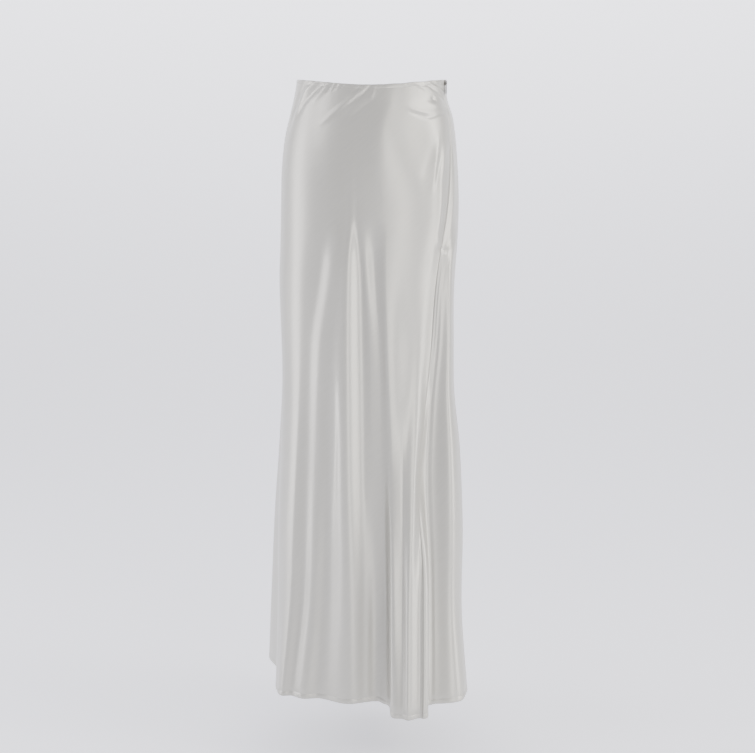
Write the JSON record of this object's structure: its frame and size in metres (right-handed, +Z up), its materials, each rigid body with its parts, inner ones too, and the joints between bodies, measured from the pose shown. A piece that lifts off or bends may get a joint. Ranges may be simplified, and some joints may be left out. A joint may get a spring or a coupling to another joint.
{
  "type": "mermaid fishtail skirt",
  "caption": "Long bias-cut satin skirt held in its worn, hollow form, close at the hips and flared into a fluted hem, with a zip at the wearer's left side.",
  "frame": {"origin": "middle of the waist edge, at the height that the edge has at the sides, in the middle of the waist opening", "axes": "+Z up out of the waist, -Y the front, +X the wearer's left, where the zip is"},
  "size_m": [0.339, 0.4106, 1.015],
  "materials": {
    "satin": "pale champagne satin, glossy along the folds",
    "zip_tape": "woven zip tape, matte, dyed to match",
    "zip_coil": "nylon coil, half matte, dyed to match",
    "zip_metal": "plated zinc, polished"
  },
  "bodies": {
    "skirt": {"front_panel": "satin", "back_panel": "satin", "zip_tape_front": "zip_tape", "zip_tape_back": "zip_tape", "zip_coil": "zip_coil", "zip_slider": "zip_metal", "zip_stop": "zip_metal"},
    "pull_tab": {"zip_pull_tab": "zip_metal"}
  },
  "joints": [
    {"name": "pull_tab_swing", "type": "hinge", "parent": "skirt", "child": "pull_tab", "pos_m": [0.12233, -0.0272, -0.00541], "axis": [-0.3193, -0.9359, 0.1489], "range_deg": [0, 165]}
  ]
}
